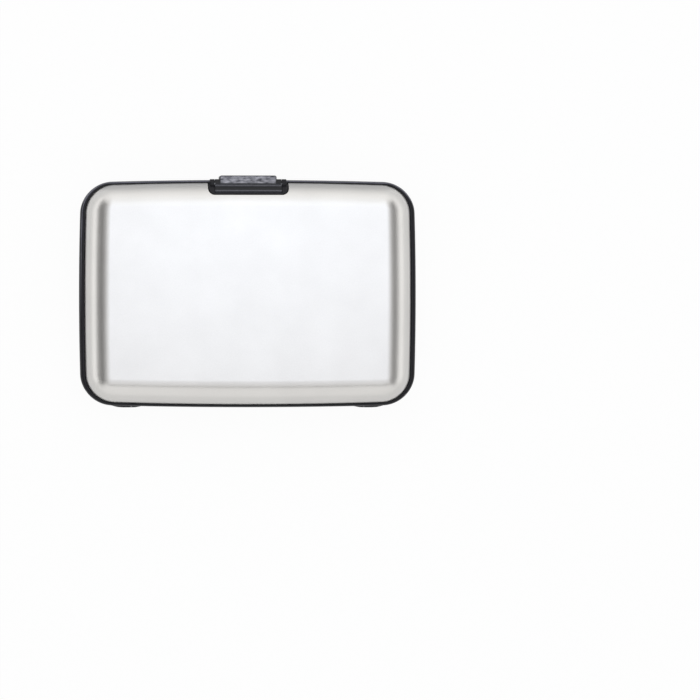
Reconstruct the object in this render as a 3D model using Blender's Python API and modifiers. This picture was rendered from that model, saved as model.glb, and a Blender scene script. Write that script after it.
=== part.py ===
"""Hard case for payment cards, closed and lying on its ribbed back.

Two pressed aluminium shells sit in two black moulded frames, which are hinged along one long side and
held shut by a sprung latch on the other. Between the shells a fan of thin plastic leaves, joined by
folded gussets at both ends, makes the card pockets. Metres, +X along the case, +Y to the latch, +Z up.

Everything is built in case coordinates, whose zero is the middle of the parting plane between the
frames. One empty, the datum, then sets the case down with the middle of its box over the origin.
"""

import math

import bmesh
import bpy
from mathutils import Matrix, Vector

# Cards, and the fan of leaves that parts them
card_length = 0.0856
card_depth = 0.0540
pocket_count = 7
leaf_thickness = 0.0004
leaf_side_margin = 0.0032
leaf_front_margin = 0.0045
leaf_corner = 0.0020
gusset_reach = 0.0026
gusset_thickness = 0.0002
fan_side_clearance = 0.00223
fan_front_clearance = 0.00603
fan_back_clearance = 0.00353

# Foam tape between the shells and the fan's end leaves
tape_side_margin = 0.0110
tape_end_margin = 0.01925
tape_thickness = 0.0004

# Case
case_height = 0.0200
case_corner = 0.0102
side_bow = 0.0007
end_bow = 0.0009
fit_gap = 0.0003
overrun = 0.0020

# Moulded frames: a rounded band outside, a groove for the shell's edge, a low wall inside
band_height = 0.0024
band_side_width = 0.00167
band_end_width = 0.00087
band_corner_width = 0.0011
band_crown = 0.0015
band_round_share = 0.75
edge_ease = 0.0002
groove_floor = 0.00165
frame_wall = 0.0011
frame_wall_height = 0.0032
frame_wall_lean = 0.0003

# Pressed shells
shell_wall = 0.0008
plateau_side_inset = 0.0085
plateau_end_inset = 0.0074
plateau_corner = 0.0017
crease_angle = math.radians(20)
rim_angle = math.radians(88)

# Ribs pressed out of the back shell, on a field raised a little above the crease
shoulder_drop = 0.0008
field_border = 0.0009
field_corner = 0.0010
rib_pitch = 0.00373
rib_rise = 0.0006
rib_crest = 0.0011
rib_valley = 0.0003
rib_end_run = 0.0012
rib_margin = 0.0033

# Hinge: two pairs of knuckles on one axis
hinge_inset = 0.0011
hinge_end_inset = 0.0170
hinge_pin_radius = 0.00035
knuckle_wall = 0.0005
knuckle_taper = 0.0003
knuckle_length = 0.0032
relief_angle = math.radians(50)

# Latch: a lever on a pin between two bosses of the lid frame, with a nose that hooks the base frame
latch_pin_radius = 0.0004
latch_axis_inset = 0.0014
latch_axis_rise = 0.0043
boss_length = 0.0015
boss_inset = 0.0004
barrel_wall = 0.00042
lever_half_width = 0.0107
arm_depth = 0.0037
arm_lift = 0.0002
arm_thickness = 0.0011
arm_travel = 0.0003
housing_wall = 0.0008
housing_floor = 0.0012
housing_corner = 0.0019
button_shoulder = 0.00145
button_proud = 0.00137
button_top_lift = 0.0009
button_plate = 0.0008
button_foot_margin = 0.00155
button_edge = 0.0005
ledge_thickness = 0.0008
nose_height = 0.0014
nose_face_share = 0.35
nose_clearance = 0.00015
catch_depth = 0.00183
catch_sink = 0.0020
catch_corner = 0.0006
catch_recess = 0.0006

# Latch spring, coiled round the pin inside the barrel
spring_wire_radius = 0.00014
spring_pin_clearance = 0.00034
spring_room_clearance = 0.00016
spring_turn_pitch = 0.00075
spring_turns = 4
spring_points_per_turn = 12
spring_leg = 0.0011

# Facets
corner_steps = 8
side_steps = 4
skirt_steps = 7
band_steps = 3
round_segments = 24
small_round_segments = 16
tab_steps = 4

# The case is as large as the cards, the fan round them and the walls round that
half_gap = fit_gap / 2
wall_outset = shell_wall + fit_gap + frame_wall
leaf_half_length = card_length / 2 + leaf_side_margin
leaf_depth = card_depth + leaf_front_margin
half_length = (
    leaf_half_length + fit_gap + gusset_reach + fan_side_clearance + wall_outset + band_side_width
)
half_depth = (fan_back_clearance + leaf_depth + fan_front_clearance) / 2 + wall_outset + band_end_width
lid_top = case_height / 2
base_top = case_height / 2 - rib_rise
base_crease = base_top - shoulder_drop

# Plans, as half length, half depth and corner radius
case_outline = (half_length, half_depth, case_corner)
rim_outline = (half_length - band_side_width, half_depth - band_end_width, case_corner - band_corner_width)
plateau_outline = (half_length - plateau_side_inset, half_depth - plateau_end_inset, plateau_corner)
rib_end_x = plateau_outline[0] - rib_margin
rib_end_y = plateau_outline[1] - rib_margin
field_outline = (rib_end_x + field_border, rib_end_y + field_border, field_corner)
rim_foot = groove_floor + fit_gap
wall_inner_y = half_depth - band_end_width - wall_outset

# Places of the hinge
hinge_y = hinge_inset - half_depth
hinge_axis = Vector((0, hinge_y, 0))
hinge_reach = half_length - hinge_end_inset
knuckle_radius = hinge_pin_radius + fit_gap + knuckle_wall

# Places of the latch
latch_y = half_depth - latch_axis_inset
latch_axis = Vector((0, latch_y, latch_axis_rise))
spring_coil_radius = latch_pin_radius + spring_pin_clearance + spring_wire_radius
spring_room = spring_coil_radius + spring_wire_radius + spring_room_clearance
barrel_radius = spring_room + barrel_wall
pocket_half_width = lever_half_width + fit_gap
boss_end = pocket_half_width + boss_length
housing_half_width = boss_end + boss_inset
housing_y = half_depth - (arm_depth + arm_travel + fit_gap + housing_wall)
pocket_sink = arm_thickness - arm_lift + arm_travel + fit_gap
housing_sink = pocket_sink + housing_floor
button_half_width = lever_half_width - button_shoulder
button_y = half_depth + button_proud
button_inner_y = button_y - button_plate
button_top = latch_axis_rise + button_top_lift
ledge_foot = -(half_gap + ledge_thickness)
nose_top = ledge_foot - fit_gap
button_foot = nose_top - nose_height - button_foot_margin
catch_y = half_depth - band_end_width - catch_depth + fit_gap

# Places of the fan
leaf_back_y = fan_back_clearance - wall_inner_y
leaf_front_y = leaf_back_y + leaf_depth
leaf_middle_y = (leaf_back_y + leaf_front_y) / 2
stack_inset = shell_wall + fit_gap + tape_thickness + fit_gap + leaf_thickness / 2
lowest_leaf = stack_inset - base_crease
highest_leaf = lid_top - stack_inset
leaf_pitch = (highest_leaf - lowest_leaf) / pocket_count

box_middle_y = (button_y + hinge_y - knuckle_radius) / 2

LID = Matrix.Identity(4)
BASE = Matrix.Rotation(math.pi, 4, "Y")


def new_collection(name):
    collection = bpy.data.collections.new(name)
    bpy.context.scene.collection.children.link(collection)
    return collection


def new_material(name, colour, roughness, metallic):
    material = bpy.data.materials.new(name)
    material.use_nodes = True
    shader = material.node_tree.nodes["Principled BSDF"]
    shader.inputs["Base Color"].default_value = (*colour, 1)
    shader.inputs["Roughness"].default_value = roughness
    shader.inputs["Metallic"].default_value = metallic
    return material


for old in list(bpy.data.objects):
    bpy.data.objects.remove(old, do_unlink=True)

parts = new_collection("card_holder")
cutters = new_collection("cutters_and_added_shapes")

datum = bpy.data.objects.new("datum", None)
datum.location = (0, -box_middle_y, case_height / 2)
parts.objects.link(datum)

satin_aluminium = new_material("satin_aluminium", (0.79, 0.79, 0.80), 0.38, 1)
black_plastic = new_material("black_plastic", (0.012, 0.012, 0.014), 0.35, 0)
grained_plastic = new_material("grained_plastic", (0.030, 0.030, 0.034), 0.55, 0)
pin_steel = new_material("pin_steel", (0.56, 0.56, 0.57), 0.25, 1)
leaf_plastic = new_material("leaf_plastic", (0.035, 0.036, 0.040), 0.30, 0)
foam_tape = new_material("foam_tape", (0.70, 0.70, 0.68), 0.80, 0)


def made_object(name, bm, material=None, pivot=None):
    """A part if it has a material, or else a hidden shape for a Boolean. Its origin lies at the pivot."""
    mesh = bpy.data.meshes.new(name)
    bm.to_mesh(mesh)
    bm.free()
    mesh.shade_smooth()
    mesh.set_sharp_from_angle(angle=math.radians(30))
    obj = bpy.data.objects.new(name, mesh)
    obj.parent = datum
    if pivot is not None:
        mesh.transform(Matrix.Translation(-pivot))
        obj.location = pivot
    if material is None:
        cutters.objects.link(obj)
        obj.hide_render = True
        obj.display_type = "WIRE"
    else:
        parts.objects.link(obj)
        mesh.materials.append(material)
    return obj


def combine(obj, operation, *others):
    for other in others:
        modifier = obj.modifiers.new(f"{operation.lower()} {other.name}", "BOOLEAN")
        modifier.operation = operation
        modifier.object = other
        modifier.solver = "EXACT"


def bowed(x, y):
    """A point of a straight-sided plan, with the sides drawn in a little towards the corners."""
    across = (y / half_depth) ** 2
    along = (x / half_length) ** 2
    return x * (1 - side_bow / half_length * across), y * (1 - end_bow / half_depth * along)


def ring(outline, height):
    """Points round a rounded rectangle, counter-clockwise from +X, whose sides bow out at their middles."""
    half_x, half_y, radius = outline
    centres = [(half_x - radius, half_y - radius), (radius - half_x, half_y - radius)]
    centres += [(radius - half_x, radius - half_y), (half_x - radius, radius - half_y)]
    corners = []
    for quarter, (centre_x, centre_y) in enumerate(centres):
        for step in range(corner_steps + 1):
            angle = (quarter + step / corner_steps) * math.pi / 2
            corners.append((centre_x + radius * math.cos(angle), centre_y + radius * math.sin(angle)))
    points = []
    for index, (x, y) in enumerate(corners):
        points.append((x, y))
        if index % (corner_steps + 1) == corner_steps:
            next_x, next_y = corners[(index + 1) % len(corners)]
            for step in range(1, side_steps):
                share = step / side_steps
                points.append((x + (next_x - x) * share, y + (next_y - y) * share))
    return [Vector((*bowed(x, y), height)) for x, y in points]


def grown(outline, distance):
    return tuple(size + distance for size in outline)


def blended(first, second, share):
    return tuple(a + (b - a) * share for a, b in zip(first, second))


def add_loft(bm, rings, closed=False):
    """Quads from each ring of points to the next, and from the last back to the first if closed."""
    loops = [[bm.verts.new(point) for point in points] for points in rings]
    pairs = list(zip(loops, loops[1:]))
    if closed:
        pairs.append((loops[-1], loops[0]))
    for lower, upper in pairs:
        for index, corner in enumerate(lower):
            following = (index + 1) % len(lower)
            bm.faces.new((corner, lower[following], upper[following], upper[index]))
    return loops


def add_prism(bm, outline, axis, start, end):
    """A closed flat outline, (y, z) for the X axis or (x, y) for the Z axis, extruded from start to end."""
    corners = [(start, a, b) if axis == "X" else (a, b, start) for a, b in outline]
    face = bm.faces.new([bm.verts.new(corner) for corner in corners])
    swept = bmesh.ops.extrude_face_region(bm, geom=[face])["geom"]
    travel = Vector([end - start if letter == axis else 0 for letter in "XYZ"])
    bmesh.ops.translate(bm, verts=[v for v in swept if isinstance(v, bmesh.types.BMVert)], vec=travel)
    bmesh.ops.recalc_face_normals(bm, faces=bm.faces)


def prism(name, outline, axis, start, end, **settings):
    bm = bmesh.new()
    add_prism(bm, outline, axis, start, end)
    return made_object(name, bm, **settings)


def box(name, x, y, z, **settings):
    """A box from its low and high place along each axis."""
    bm = bmesh.new()
    size = Matrix.Diagonal((x[1] - x[0], y[1] - y[0], z[1] - z[0], 1))
    middle = Matrix.Translation(((x[0] + x[1]) / 2, (y[0] + y[1]) / 2, (z[0] + z[1]) / 2))
    bmesh.ops.create_cube(bm, size=1, matrix=middle @ size)
    return made_object(name, bm, **settings)


def rod(name, start, end, centre, radius, segments=round_segments, end_radius=None, **settings):
    """A cylinder along X round the axis through centre, or a cone if it has an end_radius."""
    bm = bmesh.new()
    place = Matrix.Translation(((start + end) / 2, centre.y, centre.z)) @ Matrix.Rotation(math.pi / 2, 4, "Y")
    bmesh.ops.create_cone(
        bm, cap_ends=True, segments=segments, radius1=radius, radius2=end_radius or radius,
        depth=end - start, matrix=place
    )
    return made_object(name, bm, **settings)


def skirt_place(top, lean):
    """(y, height, outward normal) of a shell's skirt on the latch side, where its face has this lean."""
    out_scale = (rim_outline[1] - plateau_outline[1]) / (math.sin(rim_angle) - math.sin(crease_angle))
    down_scale = (top - rim_foot) / (math.cos(crease_angle) - math.cos(rim_angle))
    y = plateau_outline[1] + out_scale * (math.sin(lean) - math.sin(crease_angle))
    height = top - down_scale * (math.cos(crease_angle) - math.cos(lean))
    normal = Vector((down_scale * math.sin(lean), out_scale * math.cos(lean))).normalized()
    return y, height, normal


def lean_at_depth(y):
    share = (y - plateau_outline[1]) / (rim_outline[1] - plateau_outline[1])
    return math.asin(math.sin(crease_angle) + share * (math.sin(rim_angle) - math.sin(crease_angle)))


def lean_at_height(top, height):
    share = (height - rim_foot) / (top - rim_foot)
    return math.acos(math.cos(rim_angle) + share * (math.cos(crease_angle) - math.cos(rim_angle)))


def skirt_line(top, first_lean, last_lean, lift):
    """Points (y, height) along the skirt between two leans, raised off its face by lift."""
    points = []
    for step in range(skirt_steps + 1):
        lean = first_lean + (last_lean - first_lean) * step / skirt_steps
        y, height, normal = skirt_place(top, lean)
        points.append((y + normal.x * lift, height + normal.y * lift))
    return points


def skirt_strip(top, first_lean, last_lean, lift, sink):
    """The section between two lines that follow the skirt, one raised off it and one sunk under it."""
    return skirt_line(top, first_lean, last_lean, lift) + skirt_line(top, last_lean, first_lean, -sink)


def skirt_rings(top):
    """Rings from a shell's edge up its skirt to the crease round the plateau."""
    rings = []
    for step in range(skirt_steps + 1):
        lean = rim_angle + (crease_angle - rim_angle) * step / skirt_steps
        y, height, _ = skirt_place(top, lean)
        share = (y - plateau_outline[1]) / (rim_outline[1] - plateau_outline[1])
        rings.append(ring(blended(plateau_outline, rim_outline, share), height))
    return rings


def tab_outline(half_width, inner_y, outer_y, corner):
    """Plan of a tab with two rounded corners at inner_y and square ones at outer_y."""
    points = [(half_width, outer_y), (-half_width, outer_y)]
    for side, first in ((-1, math.pi), (1, 1.5 * math.pi)):
        for step in range(tab_steps + 1):
            angle = first + step / tab_steps * math.pi / 2
            centre_x = side * (half_width - corner)
            points.append((centre_x + corner * math.cos(angle), inner_y + corner + corner * math.sin(angle)))
    return points


def rib_rows():
    """(y, share of the rib's rise) of each line where the pressed back bends, from the hinge side."""
    rib_count = int(2 * rib_end_y / rib_pitch)
    rows = []
    for index in range(rib_count):
        middle = (index - (rib_count - 1) / 2) * rib_pitch
        foot = (rib_pitch - rib_valley) / 2
        crest = rib_crest / 2
        rows += [(middle - foot, 0), (middle - crest, 1), (middle + crest, 1), (middle + foot, 0)]
    return rows


def add_ribs(bm, edge_loop):
    """A bent sheet of ribs inside the loop round their field, and a flat border filled in between."""
    crest_end = rib_end_x - rib_end_run
    columns = [(-rib_end_x, 0), (-crest_end, 1), (crest_end, 1), (rib_end_x, 0)]
    rows = rib_rows()
    grid = []
    for y, row_share in rows:
        heights = [base_top + rib_rise * min(row_share, column_share) for _, column_share in columns]
        grid.append([bm.verts.new((x, y, height)) for (x, _), height in zip(columns, heights)])
    for lower, upper in zip(grid, grid[1:]):
        for index in range(len(columns) - 1):
            bm.faces.new((lower[index], lower[index + 1], upper[index + 1], upper[index]))
    border = grid[0] + [line[-1] for line in grid[1:]]
    border += grid[-1][-2::-1] + [line[0] for line in grid[-2:0:-1]]
    edges = [bm.edges.get(pair) for pair in zip(border, border[1:] + border[:1])]
    edges += [bm.edges.get(pair) for pair in zip(edge_loop, edge_loop[1:] + edge_loop[:1])]
    made = bmesh.ops.triangle_fill(bm, use_beauty=True, use_dissolve=False, edges=edges)["geom"]
    for face in made:
        if isinstance(face, bmesh.types.BMFace) and face.normal.z < 0:
            face.normal_flip()


def make_shell(name, half, top, ribbed, pivot=None):
    """A pressed shell as one open surface, given its wall by Solidify."""
    bm = bmesh.new()
    rings = skirt_rings(top)
    if ribbed:
        rings.append(ring(field_outline, base_top))
    loops = add_loft(bm, rings)
    if ribbed:
        add_ribs(bm, loops[-1])
    else:
        bm.faces.new(loops[-1])
    bm.transform(half)
    shell = made_object(name, bm, material=satin_aluminium, pivot=pivot)
    wall = shell.modifiers.new("wall", "SOLIDIFY")
    wall.thickness = shell_wall
    wall.offset = -1
    wall.use_even_offset = True
    return shell


def frame_rings():
    """The frame's section, station by station: under the band, round it, into the groove, over the wall."""
    lip = grown(rim_outline, fit_gap)
    eased = grown(case_outline, -edge_ease)
    stations = [(eased, half_gap), (case_outline, half_gap + edge_ease)]
    for step in range(band_steps + 1):
        angle = step / band_steps * math.pi / 2
        inward = band_round_share * (1 - math.cos(angle))
        height = band_height - band_crown * (1 - math.sin(angle))
        stations.append((blended(case_outline, lip, inward), height))
    stations += [(lip, band_height), (lip, groove_floor)]
    inside = grown(rim_outline, -(shell_wall + fit_gap))
    stations += [(inside, groove_floor), (grown(inside, -frame_wall_lean), frame_wall_height)]
    inner_face = grown(rim_outline, -wall_outset)
    stations += [(inner_face, frame_wall_height), (inner_face, half_gap)]
    return [ring(outline, height) for outline, height in stations]


def make_frame(name, half, pivot=None):
    bm = bmesh.new()
    add_loft(bm, frame_rings(), closed=True)
    bmesh.ops.recalc_face_normals(bm, faces=bm.faces)
    bm.transform(half)
    return made_object(name, bm, material=black_plastic, pivot=pivot)


def panel_section(top, inner_y, sink):
    """Section of the plastic that fills a notch in a skirt: flush with it outside, rooted in the frame."""
    root = groove_floor - edge_ease
    first = lean_at_height(top, band_height)
    last = lean_at_depth(inner_y)
    root_y = rim_outline[1] + fit_gap + edge_ease
    section = [(root_y, root), (root_y, band_height - edge_ease)]
    section += skirt_strip(top, first, last, 0, sink)
    section.append((wall_inner_y, root))
    return section


def make_panel(name, half, top, inner_y, sink, corner):
    """The filled notch of one frame, its plan cut to a tab with rounded corners."""
    wide = housing_half_width + overrun
    section = panel_section(top, inner_y, sink)
    bm = bmesh.new()
    add_prism(bm, section, "X", -wide, wide)
    bm.transform(half)
    panel = made_object(name, bm)
    plan = tab_outline(housing_half_width, inner_y, half_depth, corner)
    trim = prism(f"{name}_plan", plan, "Z", -case_height, case_height)
    combine(panel, "INTERSECT", trim)
    return panel


def notch_cutter(name, inner_y, corner, low, high):
    half_width = housing_half_width + fit_gap
    plan = tab_outline(half_width, inner_y - fit_gap, half_depth + overrun, corner + fit_gap)
    return prism(name, plan, "Z", low, high)


def hinge_relief():
    """A wedge along the hinge that bevels both bands, so that the lid can stand upright."""
    reach = hinge_inset + overrun
    rise = reach * math.tan(relief_angle)
    outline = [(hinge_y, 0), (hinge_y - reach, rise), (hinge_y - reach, -rise)]
    return prism("hinge_relief", outline, "X", -half_length, half_length)


def hinge_spans():
    """(lid knuckle, base knuckle, both) as low and high places along X, for the left and right hinges."""
    spans = []
    for side in (-1, 1):
        outer = sorted((side * (hinge_reach + half_gap), side * (hinge_reach + knuckle_length)))
        inner = sorted((side * (hinge_reach - half_gap), side * (hinge_reach - knuckle_length)))
        spans.append((outer, inner, (min(outer[0], inner[0]), max(outer[1], inner[1]))))
    return spans


def add_hinge(lid_frame, base_frame):
    """Each frame keeps its own knuckles, which taper away from the gap between them, and is cut clear of the
    other's. The pins lie loose in one bore."""
    relief = hinge_relief()
    combine(lid_frame, "DIFFERENCE", relief)
    combine(base_frame, "DIFFERENCE", relief)
    for side, (outer, inner, whole) in zip(("left", "right"), hinge_spans()):
        for frame, own, other, owner in (
            (lid_frame, outer, inner, "lid"), (base_frame, inner, outer, "base")
        ):
            room = rod(
                f"{owner}_knuckle_room_{side}", other[0] - half_gap, other[1] + half_gap, hinge_axis,
                knuckle_radius + fit_gap
            )
            radii = [knuckle_radius, knuckle_radius - knuckle_taper]
            if abs(abs(own[0]) - hinge_reach) > abs(abs(own[1]) - hinge_reach):
                radii.reverse()
            knuckle = rod(f"{owner}_knuckle_{side}", *own, hinge_axis, radii[0], end_radius=radii[1])
            combine(frame, "DIFFERENCE", room)
            combine(frame, "UNION", knuckle)
        bore = rod(
            f"hinge_bore_{side}", whole[0] - half_gap, whole[1] + half_gap, hinge_axis,
            hinge_pin_radius + fit_gap, small_round_segments
        )
        combine(lid_frame, "DIFFERENCE", bore)
        combine(base_frame, "DIFFERENCE", bore)
        rod(
            f"hinge_pin_{side}", *whole, hinge_axis, hinge_pin_radius, small_round_segments,
            material=pin_steel, pivot=hinge_axis
        )


def add_latch_housing(lid_frame):
    """The tray in the lid's notch: a pocket for the lever between two bosses that carry its pin."""
    panel = make_panel("latch_panel", LID, lid_top, housing_y, housing_sink, housing_corner)
    pocket_lean = lean_at_depth(housing_y + housing_wall)
    axis_lean = lean_at_height(lid_top, latch_axis_rise)
    section = skirt_strip(lid_top, pocket_lean, axis_lean, barrel_radius + overrun, pocket_sink)
    pocket = prism("lever_pocket", section, "X", -pocket_half_width, pocket_half_width)
    barrel_room = rod(
        "barrel_room", -pocket_half_width, pocket_half_width, latch_axis, barrel_radius + fit_gap
    )
    bosses = rod("latch_bosses", -boss_end, boss_end, latch_axis, barrel_radius)
    combine(lid_frame, "UNION", panel, bosses)
    combine(lid_frame, "DIFFERENCE", pocket, barrel_room)
    bore_half = housing_half_width + overrun
    bore = rod(
        "latch_bore", -bore_half, bore_half, latch_axis, latch_pin_radius + fit_gap, small_round_segments
    )
    combine(lid_frame, "DIFFERENCE", bore)
    return bore


def add_catch(base_frame):
    """The plate in the base's shallow notch, and the ledge over a recess that takes the lever's nose."""
    panel = make_panel("catch_panel", BASE, base_crease, catch_y, catch_sink, catch_corner)
    reach = button_half_width + fit_gap
    recess = box(
        "nose_recess", (-reach, reach), (half_depth - catch_recess, half_depth + overrun),
        (button_foot - overrun, ledge_foot)
    )
    combine(base_frame, "UNION", panel)
    combine(base_frame, "DIFFERENCE", recess)


def button_section():
    """Section of the thumb piece: a block beside the barrel, and a plate down over both bands with a nose."""
    under_block = band_height + fit_gap + edge_ease
    nose_tip = half_depth + nose_clearance
    return [
        (latch_y, button_top), (button_y - button_edge, button_top), (button_y, button_top - button_edge),
        (button_y, button_foot + button_edge), (button_y - button_edge, button_foot),
        (button_inner_y, button_foot), (button_inner_y, nose_top - nose_height),
        (nose_tip, nose_top - nose_face_share * nose_height), (nose_tip, nose_top),
        (button_inner_y, nose_top), (button_inner_y, under_block), (latch_y, under_block),
    ]


def make_lever(bore):
    """The latch lever: a curved arm over the skirt, a barrel on the pin, and the thumb piece outside."""
    arm_lean = lean_at_depth(half_depth - arm_depth)
    axis_lean = lean_at_height(lid_top, latch_axis_rise)
    section = skirt_strip(lid_top, arm_lean, axis_lean, arm_lift, arm_thickness - arm_lift)
    lever = prism(
        "latch_lever", section, "X", -lever_half_width, lever_half_width,
        material=grained_plastic, pivot=latch_axis
    )
    barrel = rod("lever_barrel", -lever_half_width, lever_half_width, latch_axis, barrel_radius)
    button = prism("lever_button", button_section(), "X", -button_half_width, button_half_width)
    edges = button.modifiers.new("edges", "BEVEL")
    edges.width = button_edge / 2
    edges.segments = 2
    edges.limit_method = "ANGLE"
    edges.angle_limit = math.radians(60)
    half_room = spring_turns * spring_turn_pitch / 2 + spring_wire_radius + fit_gap
    room = rod("spring_room", -half_room, half_room, latch_axis, spring_room)
    slot = box(
        "spring_slot", (-half_room, half_room), (latch_y - barrel_radius - fit_gap, latch_y),
        (latch_axis_rise - spring_room, latch_axis_rise)
    )
    combine(lever, "UNION", barrel, button)
    combine(lever, "DIFFERENCE", bore, room, slot)


def spring_route():
    """Points along the spring's wire: a leg against the tray, the turns, and a leg under the arm."""
    half_width = spring_turns * spring_turn_pitch / 2
    count = spring_turns * spring_points_per_turn
    points = []
    for step in range(count + 1):
        angle = -math.pi / 2 - step / spring_points_per_turn * 2 * math.pi
        x = -half_width + step / count * 2 * half_width
        across = spring_coil_radius * math.cos(angle)
        points.append(Vector((x, latch_y + across, latch_axis_rise + spring_coil_radius * math.sin(angle))))
    back = Vector((0, -spring_leg, 0))
    return [points[0] + back] + points + [points[-1] + back]


def make_spring():
    curve = bpy.data.curves.new("latch_spring", "CURVE")
    curve.dimensions = "3D"
    curve.bevel_depth = spring_wire_radius
    curve.bevel_resolution = 1
    curve.use_fill_caps = True
    spline = curve.splines.new("POLY")
    route = spring_route()
    spline.points.add(len(route) - 1)
    for point, place in zip(spline.points, route):
        point.co = (*(place - latch_axis), 1)
    spring = bpy.data.objects.new("latch_spring", curve)
    spring.parent = datum
    spring.location = latch_axis
    curve.materials.append(pin_steel)
    parts.objects.link(spring)


def leaf_outline():
    """Plan of one leaf, its four corners rounded."""
    points = []
    for quarter, (sign_x, sign_y) in enumerate(((1, 1), (-1, 1), (-1, -1), (1, -1))):
        for step in range(tab_steps + 1):
            angle = (quarter + step / tab_steps) * math.pi / 2
            x = sign_x * (leaf_half_length - leaf_corner) + leaf_corner * math.cos(angle)
            y = leaf_middle_y + sign_y * (leaf_depth / 2 - leaf_corner) + leaf_corner * math.sin(angle)
            points.append((x, y))
    return points


def leaf_height(index):
    return lowest_leaf + index * leaf_pitch


def make_leaves():
    """A fan of leaves. The first is taped to the base and the last to the lid."""
    names = ["end_leaf_base"] + [f"card_leaf_{index}" for index in range(1, pocket_count)] + ["end_leaf_lid"]
    for index, name in enumerate(names):
        low = leaf_height(index) - leaf_thickness / 2
        prism(
            name, leaf_outline(), "Z", low, low + leaf_thickness, material=leaf_plastic, pivot=hinge_axis
        )


def make_gussets():
    """Folded strips that close each pocket's two ends. Each hangs on the leaf under it."""
    depth = leaf_depth - 2 * leaf_corner
    for side, sign in (("left", -1), ("right", 1)):
        for index in range(pocket_count):
            inner = sign * (leaf_half_length + fit_gap)
            outer = inner + sign * gusset_reach
            clear = half_gap + gusset_thickness / 2
            low = leaf_height(index) + clear
            high = leaf_height(index + 1) - clear
            fold = [(inner, low), (outer, (low + high) / 2), (inner, high)]
            bm = bmesh.new()
            back = [bm.verts.new((x, leaf_back_y + leaf_corner, z)) for x, z in fold]
            edges = [bm.edges.new(pair) for pair in zip(back, back[1:])]
            swept = bmesh.ops.extrude_edge_only(bm, edges=edges)["geom"]
            front = [v for v in swept if isinstance(v, bmesh.types.BMVert)]
            bmesh.ops.translate(bm, verts=front, vec=Vector((0, depth, 0)))
            strip = made_object(
                f"gusset_{side}_{index + 1}", bm, material=leaf_plastic, pivot=hinge_axis
            )
            wall = strip.modifiers.new("wall", "SOLIDIFY")
            wall.thickness = gusset_thickness
            wall.offset = 0


def make_tape():
    """Foam tape that holds the fan's end leaves to the shells."""
    half_x = leaf_half_length - tape_side_margin
    half_y = leaf_depth / 2 - tape_end_margin
    x = (-half_x, half_x)
    y = (leaf_middle_y - half_y, leaf_middle_y + half_y)
    low = shell_wall + fit_gap - base_top
    high = lid_top - shell_wall - fit_gap
    box("foam_tape_base", x, y, (low, low + shoulder_drop + tape_thickness), material=foam_tape)
    box("foam_tape_lid", x, y, (high - tape_thickness, high), material=foam_tape, pivot=hinge_axis)


lid_shell = make_shell("lid_shell", LID, lid_top, ribbed=False, pivot=hinge_axis)
base_shell = make_shell("base_shell", BASE, base_crease, ribbed=True)
lid_notch = notch_cutter("lid_notch", housing_y, housing_corner, 0, case_height)
base_notch = notch_cutter("base_notch", catch_y, catch_corner, -case_height, 0)
combine(lid_shell, "DIFFERENCE", lid_notch)
combine(base_shell, "DIFFERENCE", base_notch)

lid_frame = make_frame("lid_frame", LID, pivot=hinge_axis)
base_frame = make_frame("base_frame", BASE)
add_hinge(lid_frame, base_frame)
latch_bore = add_latch_housing(lid_frame)
add_catch(base_frame)

make_lever(latch_bore)
pin_half = boss_end - half_gap
rod(
    "latch_pin", -pin_half, pin_half, latch_axis, latch_pin_radius, small_round_segments,
    material=pin_steel, pivot=latch_axis
)
make_spring()
make_leaves()
make_gussets()
make_tape()
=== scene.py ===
"""Hard case for payment cards, closed on a white table and seen from above.

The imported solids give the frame. The two pressed shells, the two moulded rims, the latch lever and the
pocket pleats are built again here at full smoothness, from the same sizes as the solids. The flat leaves,
the foam tape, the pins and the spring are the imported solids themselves, with a finish of their own.
Shapes are worked out in case coordinates, whose zero is the middle of the parting plane.
"""

import math

import bmesh
import bpy
from mathutils import Matrix, Vector


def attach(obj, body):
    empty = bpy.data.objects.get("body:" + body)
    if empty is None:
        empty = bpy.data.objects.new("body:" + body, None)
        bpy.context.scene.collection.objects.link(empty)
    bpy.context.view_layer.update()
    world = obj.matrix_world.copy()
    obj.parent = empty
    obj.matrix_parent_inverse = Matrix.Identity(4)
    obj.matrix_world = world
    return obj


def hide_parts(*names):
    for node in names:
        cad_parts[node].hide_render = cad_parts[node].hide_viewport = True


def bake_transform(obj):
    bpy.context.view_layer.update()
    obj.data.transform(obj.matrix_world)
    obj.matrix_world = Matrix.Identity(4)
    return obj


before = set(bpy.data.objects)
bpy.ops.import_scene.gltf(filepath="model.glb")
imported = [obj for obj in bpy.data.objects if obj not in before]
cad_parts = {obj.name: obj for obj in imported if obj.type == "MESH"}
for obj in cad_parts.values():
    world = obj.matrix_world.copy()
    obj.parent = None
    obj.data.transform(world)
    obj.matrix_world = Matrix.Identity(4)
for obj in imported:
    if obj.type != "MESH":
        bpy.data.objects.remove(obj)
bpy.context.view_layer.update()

mm = 0.001

# The case and its rims
half_length = 55.0 * mm
half_depth = 37.1 * mm
case_corner = 10.2 * mm
case_half_height = 10.0 * mm
side_bow = 0.7 * mm
end_bow = 0.9 * mm
shell_extra_bow = 0.22 * mm
gap = 0.3 * mm
half_gap = gap / 2
overrun = 2.0 * mm
band_height = 2.4 * mm
band_side_width = 1.67 * mm
band_end_width = 0.87 * mm
band_corner_width = 1.1 * mm
band_crown = 1.5 * mm
band_round_share = 0.75
edge_ease = 0.2 * mm
groove_floor = 1.65 * mm
frame_wall = 1.1 * mm
frame_wall_height = 3.2 * mm
frame_wall_lean = 0.3 * mm

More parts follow.
